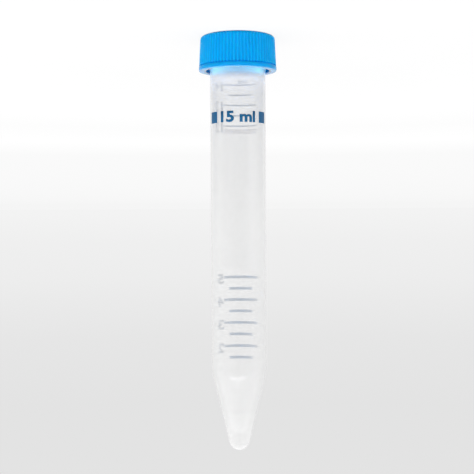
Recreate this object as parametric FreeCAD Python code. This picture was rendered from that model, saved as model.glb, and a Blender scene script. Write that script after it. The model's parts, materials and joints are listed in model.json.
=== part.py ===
"""A 15 ml conical-bottom centrifuge tube with its ribbed screw cap, closed.

The part stands on its head: the flat top of the cap is on the ground plane, the axis runs along +Z
and the tip of the cone points up. All sizes are in millimetres.
"""

import FreeCAD, Part
import math
import os

from FreeCAD import Vector

# Driving dimensions ------------------------------------------------------------------------------

overall_length = 120.0      # flat of the cap to the end of the tip

# tube, one moulding
tube_diameter = 16.0        # outside of the barrel
neck_stand = 0.2            # how far the neck stands out from the barrel
neck_hidden = 0.6           # end of the neck to the open end of the cap
brim_wall = 0.65            # outside of the barrel to the bore, at the brim
shoulder_wall = 1.3         # outside of the barrel to the bore, where the cone begins
brim_round = 0.25
cone_length = 23.2          # shoulder to the end of the tip
shoulder_round = 15.0       # blend between barrel and cone
tip_round = 3.1             # radius of the rounded tip, outside
tip_wall = 5.0              # solid plastic between the bore's end and the tip
tip_inner_round = 2.5       # radius of the rounded end of the bore

# screw thread on the neck
thread_height = 0.65
thread_root_width = 1.5
thread_crest_width = 0.6
thread_pitch = 3.0
thread_start = 1.7          # brim to the middle of the thread's first end
thread_tail = 2.0           # middle of its last end to the open end of the cap

# screw cap, one moulding
cap_height = 10.0
cap_top_wall = 1.5
skirt_wall = 1.55           # skirt with its ribs, at the crown
skirt_draft = 0.42          # how much further out the ribs stand at the collar
thread_clearance = 0.3      # crest of the neck's thread to the bore of the skirt
crown_round = 1.0
collar_height = 1.2         # smooth band at the open end
collar_stand = 0.1          # how far the band stands out from the ribs
collar_round = 0.2
groove_width = 0.3          # ring groove between ribs and band
rib_pitch = 0.96            # rib to rib, around the crown
flute_radius = 0.31         # round-bottomed flutes between the ribs
flute_depth = 0.3
flute_top = 0.45            # ground plane to the ends of the flutes

# sealing plug inside the cap's top
plug_clearance = 0.1        # plug to the bore of the mouth
plug_wall = 0.8
plug_height = 2.0
plug_round = 0.25

# Worked-out sizes --------------------------------------------------------------------------------

brim_height = cap_top_wall
barrel_radius = tube_diameter / 2
neck_radius = barrel_radius + neck_stand
neck_end_height = cap_height - neck_hidden
mouth_radius = barrel_radius - brim_wall
shoulder_height = overall_length - cone_length
bore_end_height = overall_length - tip_wall
bore_shoulder_radius = barrel_radius - shoulder_wall

thread_radius = neck_radius + thread_height
thread_low = brim_height + thread_start
thread_rise = cap_height - thread_tail - thread_low
skirt_bore_radius = thread_radius + thread_clearance
crown_radius = skirt_bore_radius + skirt_wall
rib_end_height = cap_height - collar_height - groove_width
rib_end_radius = crown_radius + skirt_draft
collar_radius = rib_end_radius + collar_stand
plug_radius = mouth_radius - plug_clearance
rib_count = round(2 * math.pi * crown_radius / rib_pitch)


def arc(centre, first, last, radius):
    """The short arc from one point to another, about a centre in the XZ plane."""
    circle = Part.Circle(centre, (first - centre).cross(last - centre), radius)
    return Part.ArcOfCircle(circle, circle.parameter(first), circle.parameter(last)).toShape()


def outline(corners):
    """Closed wire in the XZ plane through (radius, height, rounding) corners."""
    points = [Vector(radius, 0, height) for radius, height, _ in corners]
    edges, ends = [], []
    for index, here in enumerate(points):
        rounding = corners[index][2]
        if not rounding:
            ends.append((here, here))
            continue
        back = (points[index - 1] - here).normalize()
        onward = (points[(index + 1) % len(points)] - here).normalize()
        half_angle = back.getAngle(onward) / 2
        reach = rounding / math.tan(half_angle)
        centre = here + (back + onward).normalize() * (rounding / math.sin(half_angle))
        centre.x = round(centre.x, 9)       # a rounded end on the axis is centred exactly on it
        ends.append((here + back * reach, here + onward * reach))
        edges.append(arc(centre, *ends[-1], rounding))
    for index, (first, _) in enumerate(ends):
        last = ends[index - 1][1]
        if last.distanceToPoint(first) > 1e-6:
            edges.append(Part.LineSegment(last, first).toShape())
    return Part.Wire(Part.__sortEdges__(edges))


def turned(corners):
    """Solid of revolution about Z from its section's corners."""
    section = Part.Face(outline(corners))
    return section.revolve(Vector(0, 0, 0), Vector(0, 0, 1), 360)


def cone_angle(start_radius, run, end_round):
    """Half angle of the cone that starts at a radius and touches a rounded end on the axis."""
    to_centre = run - end_round
    slant = math.hypot(start_radius, to_centre)
    return math.atan2(start_radius, to_centre) - math.asin(end_round / slant)


def neck_thread():
    """Helical ridge of trapezoid section, its root a little inside the neck."""
    bite = brim_wall / 3
    flank = (thread_root_width - thread_crest_width) / 2
    root_extra = flank * bite / thread_height
    half_root = thread_root_width / 2 + root_extra
    half_crest = thread_crest_width / 2
    corners = [(neck_radius - bite, thread_low - half_root), (thread_radius, thread_low - half_crest),
               (thread_radius, thread_low + half_crest), (neck_radius - bite, thread_low + half_root)]
    section = Part.makePolygon([Vector(r, 0, z) for r, z in corners + corners[:1]])
    helix = Part.makeHelix(thread_pitch, thread_rise, neck_radius)
    helix.translate(Vector(0, 0, thread_low))
    return Part.Wire(helix.Edges).makePipeShell([section], True, True)


def make_tube():
    """Straight barrel with a tapered bore, cone, solid rounded tip, and the threaded neck."""
    angle = cone_angle(barrel_radius, cone_length, tip_round)
    bore_shoulder_height = shoulder_height - shoulder_wall * math.tan(angle / 2)
    bore_run = bore_end_height - bore_shoulder_height
    bore_angle = cone_angle(bore_shoulder_radius, bore_run, tip_inner_round)
    body = turned([
        (neck_radius, brim_height, brim_round),
        (neck_radius, neck_end_height, 0),
        (barrel_radius, neck_end_height + neck_stand, 0),
        (barrel_radius, shoulder_height, shoulder_round),
        (barrel_radius - cone_length * math.tan(angle), overall_length, tip_round),
        (0, overall_length, 0),
        (0, bore_end_height, 0),
        (bore_shoulder_radius - bore_run * math.tan(bore_angle), bore_end_height, tip_inner_round),
        (bore_shoulder_radius, bore_shoulder_height, shoulder_round),
        (mouth_radius, brim_height, brim_round),
    ])
    return body.fuse(neck_thread()).removeSplitter()


def flute():
    """One cutter: a rod along the drafted flank of the skirt, at azimuth 0."""
    rise = rib_end_height + groove_width / 2 - flute_top
    slope = skirt_draft / (rib_end_height - crown_round)
    stand = flute_radius - flute_depth
    foot = Vector(crown_radius + stand + slope * (flute_top - crown_round), 0, flute_top)
    along = Vector(slope, 0, 1)
    return Part.makeCylinder(flute_radius, rise * along.Length, foot, along)


def make_screw_cap():
    """Flat-topped cap with a plug inside, fine ribs outside and a smooth band at the open end."""
    groove_floor = rib_end_radius - flute_depth
    shell = turned([
        (0, 0, 0),
        (crown_radius, 0, crown_round),
        (crown_radius, crown_round, 0),
        (rib_end_radius, rib_end_height, 0),
        (groove_floor, rib_end_height, 0),
        (groove_floor, rib_end_height + groove_width, 0),
        (collar_radius, rib_end_height + groove_width, collar_round),
        (collar_radius, cap_height, collar_round),
        (skirt_bore_radius, cap_height, collar_round),
        (skirt_bore_radius, cap_top_wall, 0),
        (plug_radius, cap_top_wall, 0),
        (plug_radius, cap_top_wall + plug_height, plug_round),
        (plug_radius - plug_wall, cap_top_wall + plug_height, plug_round),
        (plug_radius - plug_wall, cap_top_wall, 0),
        (0, cap_top_wall, 0),
    ])
    flutes = []
    for index in range(rib_count):
        cutter = flute()
        cutter.rotate(Vector(0, 0, 0), Vector(0, 0, 1), 360 * index / rib_count)
        flutes.append(cutter)
    return shell.cut(flutes)


def main():
    os.makedirs("parts", exist_ok=True)
    for name, shape in (("conical_tube", make_tube()), ("screw_cap", make_screw_cap())):
        solid = shape.Solids[0]
        box = solid.BoundBox
        print(f"{name}: {len(shape.Solids)} solid, valid {solid.isValid()}, {len(solid.Faces)} faces,"
              f" {solid.Volume:.1f} mm3, z {box.ZMin:.3f} to {box.ZMax:.3f}")
        solid.exportStep(f"parts/{name}.step")


main()
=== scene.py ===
"""A closed 15 ml conical tube: hazy moulded tube, printed scale and ribbed blue screw cap.

Sizes are in metres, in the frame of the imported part: the cap's flat top lies on the floor, the
axis runs along +Z and the tip of the cone points up. The print reads with its top towards the cap.
"""
import bpy
import json
import math
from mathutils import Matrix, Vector


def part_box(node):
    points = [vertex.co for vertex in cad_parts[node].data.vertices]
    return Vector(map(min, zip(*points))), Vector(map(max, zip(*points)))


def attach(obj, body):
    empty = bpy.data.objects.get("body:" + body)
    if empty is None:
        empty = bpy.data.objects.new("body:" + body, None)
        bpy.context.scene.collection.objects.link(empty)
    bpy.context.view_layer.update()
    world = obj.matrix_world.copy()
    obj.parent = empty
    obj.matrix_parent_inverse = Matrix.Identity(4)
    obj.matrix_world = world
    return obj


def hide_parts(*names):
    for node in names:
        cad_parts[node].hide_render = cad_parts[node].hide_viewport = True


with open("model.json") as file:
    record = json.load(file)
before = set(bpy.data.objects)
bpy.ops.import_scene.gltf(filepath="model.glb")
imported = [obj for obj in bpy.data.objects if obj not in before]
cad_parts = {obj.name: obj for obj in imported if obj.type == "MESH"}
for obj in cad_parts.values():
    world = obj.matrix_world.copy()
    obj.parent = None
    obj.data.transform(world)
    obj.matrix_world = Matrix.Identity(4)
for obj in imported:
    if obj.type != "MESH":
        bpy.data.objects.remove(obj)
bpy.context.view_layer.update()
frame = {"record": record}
bpy.ops.object.select_all(action="DESELECT")

mm = 0.001
FULL_TURN = 2 * math.pi
WELD = 0.001 * mm           # points nearer than this are one
MILLILITRE = 1e-6           # in cubic metres
CHORD = 0.3 * mm            # longest face along a rounded corner
CREASE = math.radians(35)   # faces that turn by more than this meet at a sharp edge
BACK = math.pi / 2          # azimuths
FRONT = -math.pi / 2

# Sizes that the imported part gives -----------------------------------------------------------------

cap_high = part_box("screw_cap")[1]
tube_low, tube_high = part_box("conical_tube")
mounts = {mount["name"]: mount["dims"] for mount in frame["record"]["mounts"]}
overall_length = tube_high.z
brim_height = tube_low.z
cap_height = cap_high.z
collar_radius = cap_high.x
barrel_radius = mounts["barrel"]["r_mm"] * mm

# Tube ---------------------------------------------------------------------------------------------

neck_stand = 0.2 * mm       # how far the neck stands out from the barrel
neck_hidden = 0.6 * mm      # end of the neck to the open end of the cap
brim_wall = 0.65 * mm       # outside of the barrel to the bore, at the brim
shoulder_wall = 1.3 * mm    # and where the cone begins
brim_round = 0.25 * mm
cone_length = 23.2 * mm     # shoulder to the end of the tip
shoulder_round = 15.0 * mm  # blend between barrel and cone
tip_round = 3.1 * mm
tip_wall = 5.0 * mm         # solid plastic between the bore's end and the tip
tip_inner_round = 2.5 * mm
tube_steps = 192            # faces round the tube

neck_radius = barrel_radius + neck_stand
neck_end_height = cap_height - neck_hidden
mouth_radius = barrel_radius - brim_wall
shoulder_height = overall_length - cone_length
bore_end_height = overall_length - tip_wall
bore_shoulder_radius = barrel_radius - shoulder_wall

# Screw thread -------------------------------------------------------------------------------------

thread_height = 0.65 * mm
thread_root_width = 1.5 * mm
thread_crest_width = 0.6 * mm
thread_pitch = 3.0 * mm
thread_start = 1.7 * mm     # brim to the middle of the thread's first end
thread_tail = 2.0 * mm      # middle of its last end to the open end of the cap
thread_sink = 0.1 * mm      # how far its root lies inside the wall
cap_thread_gap = 0.15 * mm  # crest of the cap's own thread to the neck

thread_low = brim_height + thread_start
thread_rise = cap_height - thread_tail - thread_low
thread_radius = neck_radius + thread_height
cap_thread_radius = neck_radius + cap_thread_gap

# Screw cap ----------------------------------------------------------------------------------------

cap_top_wall = brim_height
skirt_wall = 1.55 * mm      # skirt with its ribs, at the crown
thread_clearance = 0.3 * mm  # crest of the neck's thread to the bore of the skirt
crown_round = 1.0 * mm
collar_height = 1.2 * mm    # smooth band at the open end
collar_stand = 0.1 * mm     # how far the band stands out from the ribs
collar_round = 0.2 * mm
groove_width = 0.3 * mm     # ring groove between ribs and band
rib_count = 70
rib_steps = 10              # faces across one rib and its flute
flute_radius = 0.31 * mm    # round-bottomed flutes between the ribs
flute_depth = 0.3 * mm
flute_top = 0.45 * mm       # floor to the ends of the flutes
plug_clearance = 0.1 * mm   # sealing plug to the bore of the mouth
plug_wall = 0.8 * mm
plug_height = 2.0 * mm
plug_round = 0.25 * mm

skirt_bore_radius = thread_radius + thread_clearance
crown_radius = skirt_bore_radius + skirt_wall
rib_end_height = cap_height - collar_height - groove_width
rib_end_radius = collar_radius - collar_stand
groove_floor = rib_end_radius - flute_depth
plug_radius = mouth_radius - plug_clearance

# Print --------------------------------------------------------------------------------------------

ink_gap = 0.004 * mm        # ink to the plastic under it
ink_thickness = 0.02 * mm
band_step = math.radians(2.5)   # longest face of a printed line, round the tube
slice_width = 0.3 * mm      # widest face of a letter
letter_steps = 3            # pieces to each curve of a letter
bold = 0.04                 # how far letters are thickened, as a share of their size
twin_reach = 0.005          # letter points nearer than this are one, as a share of their size

upper_run = 14, 13.5, 13, 12.5, 12              # millilitres that have a line
lower_run = 5, 4.5, 4, 3.5, 3, 2.5, 2, 1.5
upper_line_width = 0.45 * mm
lower_line_width = 0.8 * mm
long_line = math.radians(76)
short_line = math.radians(50)
scale_middle = BACK + math.radians(4.5)
scale_shift = 0.2 * mm      # the scale sits this much nearer the cap than the bore's volume puts it

lowest_numeral = 2
numeral_height = 3.0 * mm
numeral_drop = 0.5 * mm     # middle of a numeral past its line, towards the tip
one_digit = 2.4 * mm, math.radians(47.8)        # width and azimuth of a numeral with one digit
two_digits = 3.1 * mm, math.radians(44.6)
unit_height = 1.4 * mm
unit_width = 2.6 * mm
unit_middle = BACK + math.radians(10)
unit_rise = 1.1 * mm        # middle of the unit before the first line, towards the cap

header_gap = 0.9 * mm       # last line of the upper run to the pale band
header_width = 1.5 * mm
patch_low_gap = 2.7 * mm    # last line of the upper run to the write-on area
patch_high_gap = 2.4 * mm   # write-on area to the first line of the lower run
patch_middle = BACK - math.radians(7)
patch_spread = math.radians(60)

mark_level = 23.7 * mm      # middle of the capacity mark
mark_height = 3.2 * mm
mark_width = 10.4 * mm
bar_offset = math.radians(59)   # middle of each bar from the middle of the mark
bar_spread = math.radians(23)


def edit(piece):
    """Opens one piece in edit mode, with nothing selected in it."""
    bpy.ops.object.select_all(action="DESELECT")
    piece.select_set(True)
    bpy.context.view_layer.objects.active = piece
    bpy.ops.object.mode_set(mode="EDIT")
    bpy.ops.mesh.select_all(action="DESELECT")


def close_edit():
    """Leaves edit mode and gives the piece that was open."""
    bpy.ops.object.mode_set(mode="OBJECT")
    return bpy.context.object


def apply_modifier(piece, kind, **settings):
    """Adds a modifier, sets it up and applies it."""
    modifier = piece.modifiers.new(kind.lower(), kind)
    for name, value in settings.items():
        setattr(modifier, name, value)
    bpy.context.view_layer.objects.active = piece
    bpy.ops.object.modifier_apply(modifier=modifier.name)


def first_point(name, place):
    """A new piece that is one point, open in edit mode with that point selected."""
    bpy.ops.mesh.primitive_plane_add(size=mm)
    bpy.context.object.name = bpy.context.object.data.name = name
    bpy.ops.object.mode_set(mode="EDIT")
    bpy.ops.mesh.merge(type="CENTER")
    bpy.ops.transform.translate(value=place)


def run_on(step):
    """Extrudes the selected point along a straight step."""
    if step.length > WELD:
        bpy.ops.mesh.extrude_region_move(TRANSFORM_OT_translate={"value": step})


def draw_outline(name, corners):
    """Closed outline in the XZ plane through (radius, height, rounding) corners, with true arcs.

    It is left open in edit mode, with all of it selected.
    """
    points = [Vector((radius, 0, height)) for radius, height, _ in corners]
    here = None
    for index, corner in enumerate(points):
        rounding = corners[index][2]
        back = (points[index - 1] - corner).normalized()
        onward = (points[(index + 1) % len(points)] - corner).normalized()
        half_angle = back.angle(onward) / 2
        reach = rounding / math.tan(half_angle)
        start = corner + back * reach
        if here is None:
            first_point(name, start)
            first = start
        else:
            run_on(start - here)
        here = start
        if rounding:
            turn = math.pi - 2 * half_angle
            centre = corner + (back + onward).normalized() * (rounding / math.sin(half_angle))
            side = math.copysign(1, back.cross(onward).y)
            steps = max(3, math.ceil(rounding * turn / CHORD))
            bpy.ops.mesh.spin(steps=steps, angle=side * turn, center=centre, axis=(0, 1, 0))
            here = corner + onward * reach
    run_on(first - here)
    bpy.ops.mesh.select_all(action="SELECT")
    bpy.ops.mesh.remove_doubles(threshold=WELD)


def turn_solid(name, corners, steps):
    """Solid of revolution about the axis from its section's corners."""
    draw_outline(name, corners)
    bpy.ops.mesh.spin(steps=steps, angle=FULL_TURN, center=(0, 0, 0), axis=(0, 0, 1))
    bpy.ops.mesh.select_all(action="SELECT")
    bpy.ops.mesh.remove_doubles(threshold=WELD)
    bpy.ops.mesh.normals_make_consistent(inside=False)
    return close_edit()


def cone_angle(start_radius, run, end_round):
    """Half angle of the cone that starts at a radius and touches a rounded end on the axis."""
    to_centre = run - end_round
    slant = math.hypot(start_radius, to_centre)
    return math.atan2(start_radius, to_centre) - math.asin(end_round / slant)


outer_angle = cone_angle(barrel_radius, cone_length, tip_round)
bore_shoulder_height = shoulder_height - shoulder_wall * math.tan(outer_angle / 2)
bore_run = bore_end_height - bore_shoulder_height
bore_angle = cone_angle(bore_shoulder_radius, bore_run, tip_inner_round)


def make_thread(name, root_radius, crest_radius, start_azimuth):
    """Helical ridge of trapezoid section, closed at both ends, its root sunk a little in the wall."""
    sink = math.copysign(thread_sink, crest_radius - root_radius)
    half_root = thread_root_width / 2
    half_crest = thread_crest_width / 2
    draw_outline(name, [
        (root_radius - sink, thread_low - half_root, 0),
        (crest_radius, thread_low - half_crest, 0),
        (crest_radius, thread_low + half_crest, 0),
        (root_radius - sink, thread_low + half_root, 0),
    ])
    thread = close_edit()
    turns = thread_rise / thread_pitch
    apply_modifier(thread, "SCREW", axis="Z", angle=turns * FULL_TURN, screw_offset=thread_rise,
                   steps=round(turns * tube_steps), render_steps=round(turns * tube_steps))
    edit(thread)
    bpy.ops.mesh.select_non_manifold()
    bpy.ops.mesh.fill()
    bpy.ops.mesh.select_all(action="SELECT")
    bpy.ops.mesh.normals_make_consistent(inside=False)
    close_edit()
    thread.rotation_euler.z = start_azimuth
    bpy.ops.object.transform_apply(rotation=True)
    return thread


def weld_on(piece, part):
    """Joins a second solid to a piece as one skin."""
    apply_modifier(piece, "BOOLEAN", operation="UNION", object=part, solver="EXACT")
    bpy.data.objects.remove(part)
    edit(piece)
    bpy.ops.mesh.select_all(action="SELECT")
    bpy.ops.mesh.remove_doubles(threshold=WELD)
    close_edit()


def smooth(piece):
    """Smooth shading, with the sharp edges kept."""
    bpy.ops.object.select_all(action="DESELECT")
    piece.select_set(True)
    bpy.context.view_layer.objects.active = piece
    bpy.ops.object.shade_smooth_by_angle(angle=CREASE)


def make_tube():
    """Barrel, cone, solid rounded tip and threaded neck, with the tapered bore inside."""
    tube = turn_solid("tube_body", [
        (neck_radius, brim_height, brim_round),
        (neck_radius, neck_end_height, 0),
        (barrel_radius, neck_end_height + neck_stand, 0),
        (barrel_radius, shoulder_height, shoulder_round),
        (barrel_radius - cone_length * math.tan(outer_angle), overall_length, tip_round),
        (0, overall_length, 0),
        (0, bore_end_height, 0),
        (bore_shoulder_radius - bore_run * math.tan(bore_angle), bore_end_height, tip_inner_round),
        (bore_shoulder_radius, bore_shoulder_height, shoulder_round),
        (mouth_radius, brim_height, brim_round),
    ], tube_steps)
    weld_on(tube, make_thread("neck_thread", neck_radius, thread_radius, 0))
    smooth(tube)
    return tube


def flute_share(point):
    """How deep a point of the ribbed wall is pressed in, as a share of the flutes' full depth."""
    radius = math.hypot(point.x, point.y)
    if radius < crown_radius - crown_round or not flute_top <= point.z <= rib_end_height + WELD:
        return 0
    pitch = FULL_TURN / rib_count
    off_middle = (math.atan2(point.y, point.x) + pitch / 2) % pitch - pitch / 2
    across = off_middle * radius
    if abs(across) >= flute_radius:
        return 0
    depth = math.sqrt(flute_radius ** 2 - across ** 2) - (flute_radius - flute_depth)
    on_crown = min(1, (point.z - flute_top) / (crown_round - flute_top))
    return max(0, depth / flute_depth) * on_crown


def press_flutes(cap):
    """Presses the flutes between the ribs into the turned wall."""
    group = cap.vertex_groups.new(name="flutes")
    for vertex in cap.data.vertices:
        share = flute_share(vertex.co)
        if share > 0:
            group.add([vertex.index], share, "REPLACE")
    apply_modifier(cap, "DISPLACE", vertex_group="flutes", mid_level=0, strength=-flute_depth)
    cap.vertex_groups.remove(cap.vertex_groups["flutes"])


def make_cap():
    """Flat-topped cap with a plug inside, fine ribs outside and a smooth collar at its open end."""
    cap = turn_solid("cap_body", [
        (0, 0, 0),
        (crown_radius, 0, crown_round),
        (rib_end_radius, rib_end_height, 0),
        (groove_floor, rib_end_height, 0),
        (groove_floor, rib_end_height + groove_width, 0),
        (collar_radius, rib_end_height + groove_width, collar_round),
        (collar_radius, cap_height, collar_round),
        (skirt_bore_radius, cap_height, collar_round),
        (skirt_bore_radius, cap_top_wall, 0),
        (plug_radius, cap_top_wall, 0),
        (plug_radius, cap_top_wall + plug_height, plug_round),
        (plug_radius - plug_wall, cap_top_wall + plug_height, plug_round),
        (plug_radius - plug_wall, cap_top_wall, 0),
        (0, cap_top_wall, 0),
    ], rib_count * rib_steps)
    weld_on(cap, make_thread("cap_thread", skirt_bore_radius, cap_thread_radius, math.pi))
    press_flutes(cap)
    smooth(cap)
    return cap


# Printing -----------------------------------------------------------------------------------------


def bore_radius(height):
    """Radius of the bore at a height."""
    ball_centre = bore_end_height - tip_inner_round
    ball_touch = ball_centre + tip_inner_round * math.sin(bore_angle)
    if height > ball_touch:
        return math.sqrt(max(0, tip_inner_round ** 2 - (height - ball_centre) ** 2))
    if height > bore_shoulder_height:
        return bore_shoulder_radius - (height - bore_shoulder_height) * math.tan(bore_angle)
    share = (bore_shoulder_height - height) / (bore_shoulder_height - brim_height)
    return bore_shoulder_radius + (mouth_radius - bore_shoulder_radius) * share


def level_height(millilitres):
    """Height of the scale's line for a volume held in the tip's end of the bore."""
    step = 0.02 * mm
    height = bore_end_height
    volume = 0
    while volume < millilitres * MILLILITRE:
        height -= step
        volume += math.pi * bore_radius(height + step / 2) ** 2 * step
    return height - scale_shift


def wall_radius(height):
    """Outside radius of the barrel or cone at a height."""
    return barrel_radius - max(0, height - shoulder_height) * math.tan(outer_angle)


def print_band(name, low, high, middle, spread):
    """A band of ink round the wall between two heights, its middle at an azimuth."""
    low_radius = wall_radius(low) + ink_gap
    high_radius = wall_radius(high) + ink_gap
    first_point(name, (low_radius, 0, low))
    run_on(Vector((high_radius - low_radius, 0, high - low)))
    bpy.ops.mesh.select_all(action="SELECT")
    steps = max(4, math.ceil(spread / band_step))
    bpy.ops.mesh.spin(steps=steps, angle=-spread, center=(0, 0, 0), axis=(0, 0, 1))
    band = close_edit()
    band.rotation_euler.z = middle - spread / 2
    bpy.ops.object.transform_apply(rotation=True)
    return band


def drop_twin_points(outlines):
    """Deletes the control points of letter outlines that lie on the point before them."""
    bpy.context.view_layer.objects.active = outlines
    bpy.ops.object.mode_set(mode="EDIT")
    bpy.ops.curve.select_all(action="DESELECT")
    twins = 0
    for spline in outlines.data.splines:
        for index, point in enumerate(spline.bezier_points):
            if (point.co - spline.bezier_points[index - 1].co).length < twin_reach:
                point.select_control_point = True
                twins += 1
    if twins:
        bpy.ops.curve.delete(type="VERT")
    bpy.ops.object.mode_set(mode="OBJECT")


def print_text(name, words, height, width, azimuth, level):
    """Ink letters wrapped on the barrel, reading with their tops towards the cap."""
    bpy.ops.object.text_add(rotation=(math.pi / 2, 0, 0))
    bpy.context.object.data.body = words
    bpy.ops.object.convert(target="CURVE")
    text = bpy.context.object
    text.name = name
    drop_twin_points(text)
    text.data.resolution_u = letter_steps
    text.data.offset = bold
    bpy.ops.object.convert(target="MESH")
    text = bpy.context.object
    bpy.ops.object.transform_apply(rotation=True)
    low = [min(vertex.co[axis] for vertex in text.data.vertices) for axis in range(3)]
    high = [max(vertex.co[axis] for vertex in text.data.vertices) for axis in range(3)]
    text.scale = (width / (high[0] - low[0]), 1, height / (high[2] - low[2]))
    text.location.x = -(low[0] + high[0]) / 2 * text.scale.x
    text.location.z = -(low[2] + high[2]) / 2 * text.scale.z
    bpy.ops.object.transform_apply(location=True, scale=True)
    edit(text)
    bpy.ops.mesh.select_all(action="SELECT")
    bpy.ops.mesh.beautify_fill(angle_limit=math.pi)
    slices = math.ceil(width / slice_width)
    for index in range(1, slices):
        bpy.ops.mesh.select_all(action="SELECT")
        place = width * (index / slices - 0.5)
        bpy.ops.mesh.bisect(plane_co=(place, 0, 0), plane_no=(1, 0, 0))
    bpy.ops.mesh.select_all(action="SELECT")
    bpy.ops.mesh.remove_doubles(threshold=WELD)
    close_edit()
    ink_radius = wall_radius(level) + ink_gap
    apply_modifier(text, "SIMPLE_DEFORM", deform_method="BEND", deform_axis="Z",
                   angle=width / ink_radius)
    text.location = (0, -ink_radius, 0)
    bpy.ops.object.transform_apply(location=True)
    text.rotation_euler = (0, math.pi, azimuth + math.pi / 2)
    text.location.z = level
    bpy.ops.object.transform_apply(location=True, rotation=True)
    return text


def give_thickness(name, prints):
    """Joins flat prints into one piece and gives the ink its thickness, outwards from the wall."""
    bpy.ops.object.select_all(action="DESELECT")
    for part in prints:
        part.select_set(True)
    bpy.context.view_layer.objects.active = prints[0]
    if len(prints) > 1:
        bpy.ops.object.join()
    piece = bpy.context.object
    piece.name = piece.data.name = name
    apply_modifier(piece, "SOLIDIFY", thickness=ink_thickness, offset=1)
    return piece


def make_scale():
    """Lines on the back, a numeral beside most whole millilitres, and the unit above the first."""
    lines, numerals = [], []
    for millilitres in upper_run + lower_run:
        whole = millilitres == int(millilitres)
        level = level_height(millilitres)
        spread = long_line if whole else short_line
        width = upper_line_width if millilitres in upper_run else lower_line_width
        lines.append(print_band("line", level - width / 2, level + width / 2, scale_middle, spread))
        if whole and millilitres >= lowest_numeral:
            digits = str(millilitres)
            width, azimuth = two_digits if len(digits) == 2 else one_digit
            numerals.append(print_text("numeral", digits, numeral_height, width, azimuth,
                                       level + numeral_drop))
    numerals.append(print_text("unit", "ml", unit_height, unit_width, unit_middle,
                               level_height(upper_run[0]) - unit_rise))
    return give_thickness("scale_lines", lines), give_thickness("scale_numerals", numerals)


def make_header():
    """Pale band that closes the scale's upper run."""
    low = level_height(upper_run[-1]) + header_gap
    header = print_band("header", low, low + header_width, scale_middle, long_line)
    return give_thickness("scale_header", [header])


def make_patch():
    """White write-on area on the back, between the two runs of the scale."""
    low = level_height(upper_run[-1]) + patch_low_gap
    high = level_height(lower_run[0]) - patch_high_gap
    patch = print_band("patch", low, high, patch_middle, patch_spread)
    return give_thickness("write_on_patch", [patch])


def make_capacity_mark():
    """Capacity on the front, between two bars that run to the sides."""
    low = mark_level - mark_height / 2
    high = mark_level + mark_height / 2
    words = print_text("words", "15 ml", mark_height, mark_width, FRONT, mark_level)
    bars = [print_band("bar", low, high, FRONT + side * bar_offset, bar_spread) for side in (-1, 1)]
    return give_thickness("capacity_mark", [words] + bars)


# Finishes -----------------------------------------------------------------------------------------


class Wire:
    """A node's output that sums are written with: each operator adds the Math node it stands for."""

    def __init__(self, tree, socket):
        self.tree = tree
        self.socket = socket

    def maths(self, operation, first, second=0.0):
        return add_node(self.tree, "ShaderNodeMath", {"operation": operation}, {0: first, 1: second})

    def __add__(self, other):
        return self.maths("ADD", self, other)

    def __sub__(self, other):
        return self.maths("SUBTRACT", self, other)

    def __rsub__(self, other):
        return self.maths("SUBTRACT", other, self)

    def __mul__(self, other):
        return self.maths("MULTIPLY", self, other)

    __radd__ = __add__
    __rmul__ = __mul__

    def largest(self, other):
        return self.maths("MAXIMUM", self, other)

    def smallest(self, other):
        return self.maths("MINIMUM", self, other)

    def cosine(self):
        return self.maths("COSINE", self)

    def azimuth(self, across):
        return self.maths("ARCTAN2", self, across)

    def at_least(self, limit):
        return self.maths("GREATER_THAN", self, limit)


def add_node(tree, kind, settings, inputs, output=0):
    """Adds a node, its settings first and then its sockets' values or links, and gives one output."""
    made = tree.nodes.new(kind)
    for name, value in settings.items():
        if name == "stops":
            elements = made.color_ramp.elements
            while len(elements) < len(value):
                elements.new(1)
            for element, (place, colour) in zip(elements, value):
                element.position = place
                element.color = colour
        else:
            setattr(made, name, value)
    for name, value in inputs.items():
        if isinstance(value, Wire):
            tree.links.new(value.socket, made.inputs[name])
        else:
            made.inputs[name].default_value = value
    return Wire(tree, made.outputs[output])


def new_finish(name):
    """An empty node tree for a material, and the material."""
    material = bpy.data.materials.new(name)
    material.use_nodes = True
    material.node_tree.nodes.clear()
    return material, material.node_tree


def show(tree, shader):
    """Makes a shader the surface of the material or the world that the tree belongs to."""
    in_world = tree == bpy.context.scene.world.node_tree
    output = tree.nodes.new("ShaderNodeOutputWorld" if in_world else "ShaderNodeOutputMaterial")
    tree.links.new(shader.socket, output.inputs["Surface"])


def place_on(tree):
    """The point on the piece, in metres."""
    return add_node(tree, "ShaderNodeTexCoord", {}, {}, "Object")


def coordinate(tree, vector, axis):
    """One coordinate of a vector."""
    return add_node(tree, "ShaderNodeSeparateXYZ", {}, {"Vector": vector}, axis)


def grain(tree, scale, detail=2.0):
    """Noise from 0 to 1 over the piece, its scale in spots to the millimetre."""
    return add_node(tree, "ShaderNodeTexNoise", {}, {
        "Vector": place_on(tree), "Scale": scale / mm, "Detail": detail}, "Fac")


def ramp(tree, value, *stops):
    """A grey value spread between colours."""
    return add_node(tree, "ShaderNodeValToRGB", {"stops": stops}, {"Fac": value}, "Color")


def grey(level):
    """A grey of one level, as a colour."""
    return (level, level, level, 1)


def greys(stops):
    """Places and levels as the stops of a ramp."""
    return [(place, grey(level)) for place, level in stops]


def bump(tree, height, strength, depth):
    """A normal that leans with a height map."""
    return add_node(tree, "ShaderNodeBump", {}, {
        "Height": height, "Strength": strength, "Distance": depth}, "Normal")


def ray_is(tree, *kinds):
    """1 for a ray of any of these kinds."""
    found = add_node(tree, "ShaderNodeLightPath", {}, {}, kinds[0])
    for kind in kinds[1:]:
        found = found.largest(add_node(tree, "ShaderNodeLightPath", {}, {}, kind))
    return found


def mix_colours(tree, share, first, second):
    """The first colour at a share of 0, the second at 1."""
    return add_node(tree, "ShaderNodeMix", {"data_type": "RGBA"}, {0: share, 6: first, 7: second}, 2)


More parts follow.
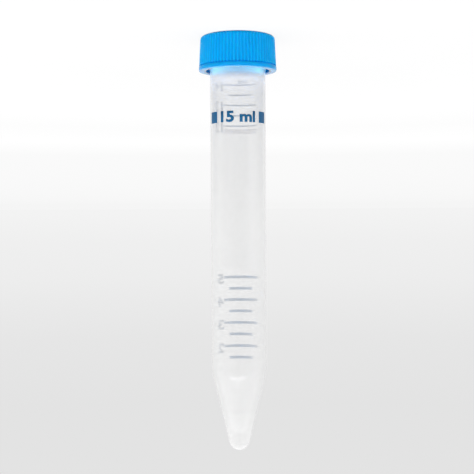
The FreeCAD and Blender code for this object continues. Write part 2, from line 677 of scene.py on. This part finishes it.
def mix_shaders(tree, share, first, second):
    """The first shader at a share of 0, the second at 1."""
    return add_node(tree, "ShaderNodeMixShader", {}, {0: share, 1: first, 2: second})


# Haze of the tube's plastic along its length, from 0 at the floor to 1 at the tip: how much of the
# light it stops, and how white it looks; that whiteness is painted light and shade, lightest just past
# the cap
haze_stops = ((0.085, 0.33), (0.0925, 0.36), (0.099, 0.6), (0.106, 0.8), (0.117, 0.46), (0.2, 0.4),
              (0.3, 0.38), (0.4, 0.33), (0.78, 0.33), (0.82, 0.325), (0.9, 0.33), (0.94, 0.55))
painted_light_milk_stops = ((0.096, 0.83), (0.104, 0.93), (0.118, 0.9), (0.14, 0.78), (0.35, 0.79), (0.45, 0.83),
              (0.78, 0.83), (0.82, 0.8), (1, 0.8))
edge_haze = 0.45            # haze added where the skin is seen edge-on
uneven_haze = 0.02          # how much the haze varies from spot to spot
plastic_ior = 1.49
shine_roughness = 0.12
most_shine = 0.35           # more would hide what is behind the skin's edges
facing_in = -0.5 * mm       # less than this, and a face looks towards the axis


def hazy_plastic():
    """Natural polypropylene: clear, its haze gathered on the outer skin, most where it is thick, with
    light and shade painted into its whiteness along the length.
    """
    material, tree = new_finish("hazy_polypropylene")
    along = coordinate(tree, place_on(tree), "Z") * (1 / overall_length)
    share = ramp(tree, along, *greys(haze_stops))
    # painted light and shade: the milk's whiteness changes along the length
    white = ramp(tree, along, *greys(painted_light_milk_stops))
    edge_on = add_node(tree, "ShaderNodeLayerWeight", {}, {"Blend": 0.5}, "Facing")
    outward = add_node(tree, "ShaderNodeVectorMath", {"operation": "MULTIPLY"}, {
        0: place_on(tree), 1: add_node(tree, "ShaderNodeTexCoord", {}, {}, "Normal")})
    skin = (coordinate(tree, outward, "X") + coordinate(tree, outward, "Y")).at_least(facing_in)
    haze = (share + edge_haze * edge_on + uneven_haze * (grain(tree, scale=0.5) - 0.5)) * skin
    milk = mix_shaders(tree, 0.5,
                       add_node(tree, "ShaderNodeBsdfDiffuse", {}, {"Color": white}),
                       add_node(tree, "ShaderNodeBsdfTranslucent", {}, {"Color": white}))
    body = mix_shaders(tree, haze, add_node(tree, "ShaderNodeBsdfTransparent", {}, {}), milk)
    shine = add_node(tree, "ShaderNodeBsdfGlossy", {}, {"Color": grey(1), "Roughness": shine_roughness})
    front_face = 1 - add_node(tree, "ShaderNodeNewGeometry", {}, {}, "Backfacing")
    mirrored = add_node(tree, "ShaderNodeFresnel", {}, {"IOR": plastic_ior}, "Fac").smallest(most_shine)
    show(tree, mix_shaders(tree, mirrored * skin * front_face, body, shine))
    return material


# Shades of the cap's blue, each from one end of its drift to the other: the open blue, and two blues of
# painted shade
open_blue = (0.001, 0.42, 0.91, 1), (0.002, 0.45, 0.96, 1)
painted_shade_blue = (0.001, 0.35, 0.76, 1), (0.002, 0.38, 0.81, 1)
shaded_blue = (0.001, 0.08, 0.2, 1), (0.002, 0.085, 0.21, 1)
outer_reach = 0.5 * mm      # what lies further outside the skirt's bore is the cap's outside
bore_reach = 0.3 * mm       # what lies further inside it is the cap's middle
inner_shade = 0.73          # how shaded the cap's middle is, and how much more so its bore
bore_shade = 0.27
# painted shade on the lip at the cap's open end
lip_shade = 0.3
collar_stops = (0.2, 0), (0.3, 1)       # from the ribs' ends at 0 to the cap's open end at 1


def drifting(tree, spots, shades, low=0.3, high=0.7):
    """A colour that drifts between two shades as a noise runs from low to high."""
    return ramp(tree, spots, (low, shades[0]), (high, shades[1]))


def cap_plastic():
    """Sky-blue moulded polyethylene, satin, with shade painted into its flutes, on its collar, on its
    lip and inside.
    """
    material, tree = new_finish("blue_polyethylene")
    x, y, z = [coordinate(tree, place_on(tree), axis) for axis in "XYZ"]
    off_axis = x * x + y * y
    outside = off_axis.at_least((skirt_bore_radius + outer_reach) ** 2)
    in_bore = off_axis.at_least((skirt_bore_radius - bore_reach) ** 2)
    in_flute = 0.5 + 0.5 * (rib_count * y.azimuth(x)).cosine()
    ribbed = z.at_least(flute_top) * (1 - z.at_least(rib_end_height + groove_width))
    past_ribs = (z - rib_end_height) * (1 / (cap_height - rib_end_height))
    on_collar = ramp(tree, past_ribs, *greys(collar_stops))
    lip = z.at_least(cap_height - collar_round)
    # painted shade: the cap's middle inside, more on the skirt's bore, and the lip
    painted_shade_share = ((1 - outside) * (inner_shade + bore_shade * in_bore)).largest(lip_shade * lip)
    spots = grain(tree, scale=0.35, detail=4)
    colour = drifting(tree, spots, open_blue)
    # painted shade: on the outside, the flutes between the ribs and the collar are darker
    colour = mix_colours(tree, (in_flute * ribbed).largest(on_collar) * outside, colour,
                         drifting(tree, spots, painted_shade_blue))
    colour = mix_colours(tree, painted_shade_share, colour, drifting(tree, spots, shaded_blue))
    show(tree, add_node(tree, "ShaderNodeBsdfPrincipled", {}, {
        "Base Color": colour, "Roughness": 0.2 + 0.08 * grain(tree, scale=3),
        "Normal": bump(tree, grain(tree, scale=12), strength=0.25, depth=0.01 * mm),
        "Specular IOR Level": 0.08,
        "Coat Weight": lip, "Coat Roughness": 0.15,
        "Subsurface Weight": 0.6, "Subsurface Radius": (0.3, 0.8, 1.2), "Subsurface Scale": mm}))
    return material


# Shades of the inks, where they are thin and where they are full
blue_shades = (0.012, 0.13, 0.29, 1), (0.004, 0.09, 0.22, 1)
white_shades = (0.88, 0.88, 0.89, 1), (0.93, 0.93, 0.93, 1)
pale_shades = (0.5, 0.49, 0.56, 1), (0.45, 0.44, 0.52, 1)


def ink(name, shades, roughness, cover=1.0):
    """Printing ink whose colour varies a little, and which lets light through where it is thin."""
    material, tree = new_finish(name)
    solid = add_node(tree, "ShaderNodeBsdfPrincipled", {}, {
        "Base Color": drifting(tree, grain(tree, scale=4, detail=3), shades, high=0.6),
        "Roughness": roughness, "Specular IOR Level": 0.25,
        "Normal": bump(tree, grain(tree, scale=10), strength=0.2, depth=0.01 * mm)})
    if cover < 1:
        lit_through = add_node(tree, "ShaderNodeBsdfTranslucent", {}, {"Color": shades[1]})
        solid = mix_shaders(tree, 0.5, solid, lit_through)
        solid = mix_shaders(tree, cover, add_node(tree, "ShaderNodeBsdfTransparent", {}, {}), solid)
    show(tree, solid)
    return material


def wear(piece, material, body, slot, *nodes):
    """Gives a piece its finish and the body it moves with. The slot is not used."""
    piece.data.materials.clear()
    piece.data.materials.append(material)
    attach(piece, body)
    if nodes:
        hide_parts(*nodes)


# Studio -------------------------------------------------------------------------------------------

lit_level = 0.65            # how bright the surroundings are for the light they give
floor_radius = 12
floor_reach = 5.0           # how far out the floor's look is graded
floor_level = 1.2           # the floor's look where its grading says 1
floor_grey = 0.4            # its colour where the lamps light it and shadows fall on it
shadow_reach = 0.4          # how far out shadows show
shadow_stops = (0.2, 0.75), (1, 1)      # share of its look that they leave alone, up to there
floor_stops = (0.016, 0.96), (0.038, 0.932), (0.058, 0.864), (0.112, 0.797), (0.4, 0.783), (1, 0.761)
sky_rise = 0.2              # height at which the backdrop stops darkening, as the sine of the elevation
sky_stops = (0, 0.895), (0.15, 0.865), (0.34, 0.847), (0.47, 0.823), (0.66, 0.791), (1, 0.768)
direct_rays = "Is Camera Ray", "Is Glossy Ray", "Is Transmission Ray"


def make_world():
    """Even surroundings, seen as a backdrop that darkens upwards from the floor's far edge."""
    world = bpy.context.scene.world or bpy.data.worlds.new("studio")
    bpy.context.scene.world = world
    world.use_nodes = True
    tree = world.node_tree
    tree.nodes.clear()
    direction = add_node(tree, "ShaderNodeTexCoord", {}, {}, "Generated")
    rise = coordinate(tree, direction, "Z")
    seen = ramp(tree, rise * (1 / sky_rise), *greys(sky_stops))
    backdrop = add_node(tree, "ShaderNodeBackground", {}, {"Color": seen, "Strength": 1.0})
    light = add_node(tree, "ShaderNodeBackground", {}, {"Color": grey(1), "Strength": lit_level})
    show(tree, mix_shaders(tree, ray_is(tree, *direct_rays), light, backdrop))


def make_floor():
    """Wide pale floor that keeps a faint shadow."""
    bpy.ops.mesh.primitive_circle_add(vertices=96, radius=floor_radius, fill_type="NGON")
    floor = bpy.context.object
    floor.name = "floor"
    material, tree = new_finish("pale_floor")
    away = add_node(tree, "ShaderNodeVectorMath", {"operation": "LENGTH"}, {0: place_on(tree)}, "Value")
    seen = ramp(tree, away * (1 / floor_reach), *greys(floor_stops))
    bright = add_node(tree, "ShaderNodeEmission", {}, {"Color": seen, "Strength": floor_level})
    matt = add_node(tree, "ShaderNodeBsdfDiffuse", {}, {"Color": grey(floor_grey)})
    own_light = ramp(tree, away * (1 / shadow_reach), *greys(shadow_stops))
    show(tree, mix_shaders(tree, ray_is(tree, *direct_rays) * own_light, matt, bright))
    floor.data.materials.append(material)


def make_lamp(name, place, aim, width, height, power, colour=(1, 1, 1), mirrored=False):
    """A soft box at a place, facing a point, which shows as a highlight only where it is mirrored."""
    bpy.ops.object.light_add(type="AREA", location=place)
    lamp = bpy.context.object
    lamp.name = name
    lamp.data.shape = "RECTANGLE"
    lamp.data.size = width
    lamp.data.size_y = height
    lamp.data.energy = power
    lamp.data.color = colour
    lamp.visible_glossy = mirrored
    lamp.visible_camera = False
    lamp.rotation_euler = (Vector(aim) - Vector(place)).to_track_quat("-Z", "Y").to_euler()


glow_rise = 1.8 * mm        # cap's open end to the glow
glow_size = 9 * mm


def make_lamps():
    """Soft boxes above the camera, at both sides, beside the cone and above the tip, and a thin strip
    that the shoulder mirrors. The glow stands for light that the cap's plastic lets through."""
    middle = (0, 0, overall_length / 2)
    tip = (0, 0, overall_length)
    mouth = (0, 0, cap_height + glow_rise)
    make_lamp("key", (0.03, -0.45, 0.36), middle, width=0.8, height=0.3, power=1.7)
    make_lamp("left", (0.45, -0.05, 0.3), middle, width=0.4, height=0.3, power=0.5)
    make_lamp("right", (-0.45, -0.05, 0.3), middle, width=0.4, height=0.3, power=0.2)
    for side in (-1, 1):
        make_lamp("cone_side", (side * 0.16, 0, 0.16), tip, width=0.06, height=0.06, power=0.03)
    make_lamp("overhead", (0, 0, 0.5), middle, width=0.3, height=0.3, power=0.75)
    make_lamp("strip", (0.05, -0.45, 0.385), middle, width=0.65, height=0.06, power=0.5, mirrored=True)
    make_lamp("glow", mouth, (0, 0, 0), width=glow_size, height=glow_size, power=0.0042,
              colour=(0, 0.64, 1))


camera_place = 0.41 * mm, -270 * mm, 50.84 * mm
camera_pitch = math.radians(1.491)      # how far it looks down
camera_lean = math.radians(0.29)
camera_lens = 70.58


def make_camera():
    """Nearly level with the tube's middle, and turned over so that the cap is at the view's top."""
    turned = (math.pi / 2 - camera_pitch, math.pi + camera_lean, 0)
    bpy.ops.object.camera_add(location=camera_place, rotation=turned)
    camera = bpy.context.object
    camera.data.lens = camera_lens
    bpy.context.scene.camera = camera


def main():
    bpy.context.scene.view_settings.view_transform = "Standard"
    make_world()
    make_floor()
    make_lamps()
    make_camera()
    wear(make_tube(), hazy_plastic(), "conical_tube", "clear_polypropylene", "conical_tube")
    wear(make_cap(), cap_plastic(), "screw_cap", "blue_cap", "screw_cap")
    lines, numerals = make_scale()
    blue = ink("blue_ink", blue_shades, roughness=0.45)
    for piece in (lines, numerals, make_capacity_mark()):
        wear(piece, blue, "conical_tube", "blue_print")
    white = ink("white_ink", white_shades, roughness=0.7, cover=0.3)
    wear(make_patch(), white, "conical_tube", "white_print")
    pale = ink("pale_ink", pale_shades, roughness=0.6, cover=0.4)
    wear(make_header(), pale, "conical_tube", "white_print")


main()
